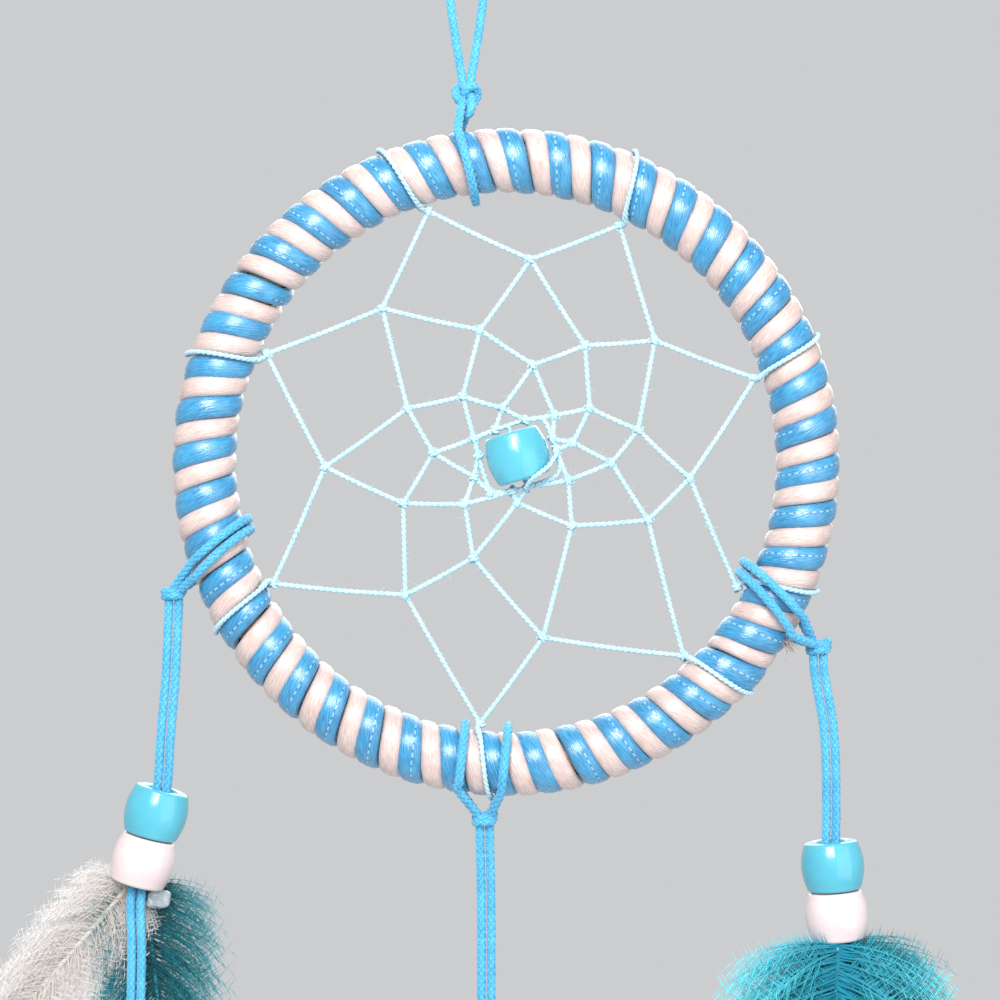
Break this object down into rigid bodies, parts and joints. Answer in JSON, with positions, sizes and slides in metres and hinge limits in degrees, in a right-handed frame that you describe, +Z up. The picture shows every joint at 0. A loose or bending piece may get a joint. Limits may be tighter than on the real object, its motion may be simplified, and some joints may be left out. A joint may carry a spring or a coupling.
{
  "type": "dream catcher",
  "caption": "Wall-hung dream catcher: satin-wrapped ring with a thread web, a centre bead and hanging cord drops with beads and feathers.",
  "frame": {"origin": "where a nail carries the hanging loop, inside the top of the loop's bend", "axes": "+Z up, -Y out of the front towards the viewer, +X to the viewer's right"},
  "size_m": [0.1508, 0.014, 0.2609],
  "materials": {
    "azure_cord": "braided synthetic cord, soft sheen",
    "blue_satin": "glossy satin cord",
    "white_satin": "glossy satin cord",
    "ring_plastic": "plain moulded ring, hidden by the wrapping",
    "web_thread": "thin fuzzy yarn",
    "turquoise_bead": "glossy moulded plastic",
    "white_bead": "glossy moulded plastic",
    "glue": "clear hot-melt glue",
    "white_feather": "soft feather barbs",
    "teal_feather": "soft dyed feather barbs",
    "turquoise_feather": "soft dyed downy barbs"
  },
  "bodies": {
    "loop": {"hanging_loop": "azure_cord"},
    "knot": {"hanging_knot": "azure_cord", "hanging_eye": "azure_cord"},
    "hoop": {"core_ring": "ring_plastic", "wrap_blue": "blue_satin", "wrap_white": "white_satin", "web_thread": "web_thread", "left_hitch": "azure_cord", "right_hitch": "azure_cord", "bottom_hitch": "azure_cord"},
    "bead": {"centre_bead": "turquoise_bead"},
    "left_tie": {"left_bight": "azure_cord"},
    "left_drop": {"left_cord": "azure_cord", "left_blue_bead": "turquoise_bead", "left_white_bead": "white_bead", "left_glue": "glue", "left_end_knot": "azure_cord", "left_white_feather": "white_feather", "left_teal_feather": "teal_feather"},
    "right_tie": {"right_bight": "azure_cord"},
    "right_drop": {"right_cord": "azure_cord", "right_blue_bead": "turquoise_bead", "right_white_bead": "white_bead", "right_glue": "glue", "right_end_knot": "azure_cord", "right_turquoise_feather": "turquoise_feather", "right_teal_feather": "teal_feather"},
    "bottom_tie": {"bottom_bight": "azure_cord"},
    "bottom_drop": {"bottom_cord": "azure_cord", "bottom_blue_bead": "turquoise_bead", "bottom_white_bead": "white_bead", "bottom_glue": "glue", "bottom_end_knot": "azure_cord", "bottom_white_feather": "white_feather", "bottom_turquoise_feather": "turquoise_feather"}
  },
  "joints": [
    {"name": "loop_sway", "type": "hinge", "parent": "loop", "child": "knot", "pos_m": [0, 0, -0.0447], "axis": [0, 1, 0], "range_deg": [-12, 12]},
    {"name": "hoop_swing", "type": "hinge", "parent": "knot", "child": "hoop", "pos_m": [0, 0, -0.0568], "axis": [-0.9914, 0, -0.1305], "range_deg": [-25, 25]},
    {"name": "bead_spin", "type": "hinge", "parent": "hoop", "child": "bead", "pos_m": [0.00732, 0, -0.09863], "axis": [-0.2924, 0, 0.9563], "continuous": true},
    {"name": "left_swing", "type": "hinge", "parent": "hoop", "child": "left_tie", "pos_m": [-0.04186, 0, -0.11814], "axis": [1, 0, 0], "range_deg": [-30, 30]},
    {"name": "left_sway", "type": "hinge", "parent": "left_tie", "child": "left_drop", "pos_m": [-0.04186, 0, -0.11814], "axis": [0, 1, 0], "range_deg": [-8, 25]},
    {"name": "right_swing", "type": "hinge", "parent": "hoop", "child": "right_tie", "pos_m": [0.0503, 0, -0.12595], "axis": [1, 0, 0], "range_deg": [-30, 30]},
    {"name": "right_sway", "type": "hinge", "parent": "right_tie", "child": "right_drop", "pos_m": [0.0503, 0, -0.12595], "axis": [0, 1, 0], "range_deg": [-25, 5]},
    {"name": "bottom_swing", "type": "hinge", "parent": "hoop", "child": "bottom_tie", "pos_m": [0.0026, 0, -0.15044], "axis": [1, 0, 0], "range_deg": [-30, 30]},
    {"name": "bottom_sway", "type": "hinge", "parent": "bottom_tie", "child": "bottom_drop", "pos_m": [0.0026, 0, -0.15044], "axis": [0, 1, 0], "range_deg": [-6, 6]}
  ]
}
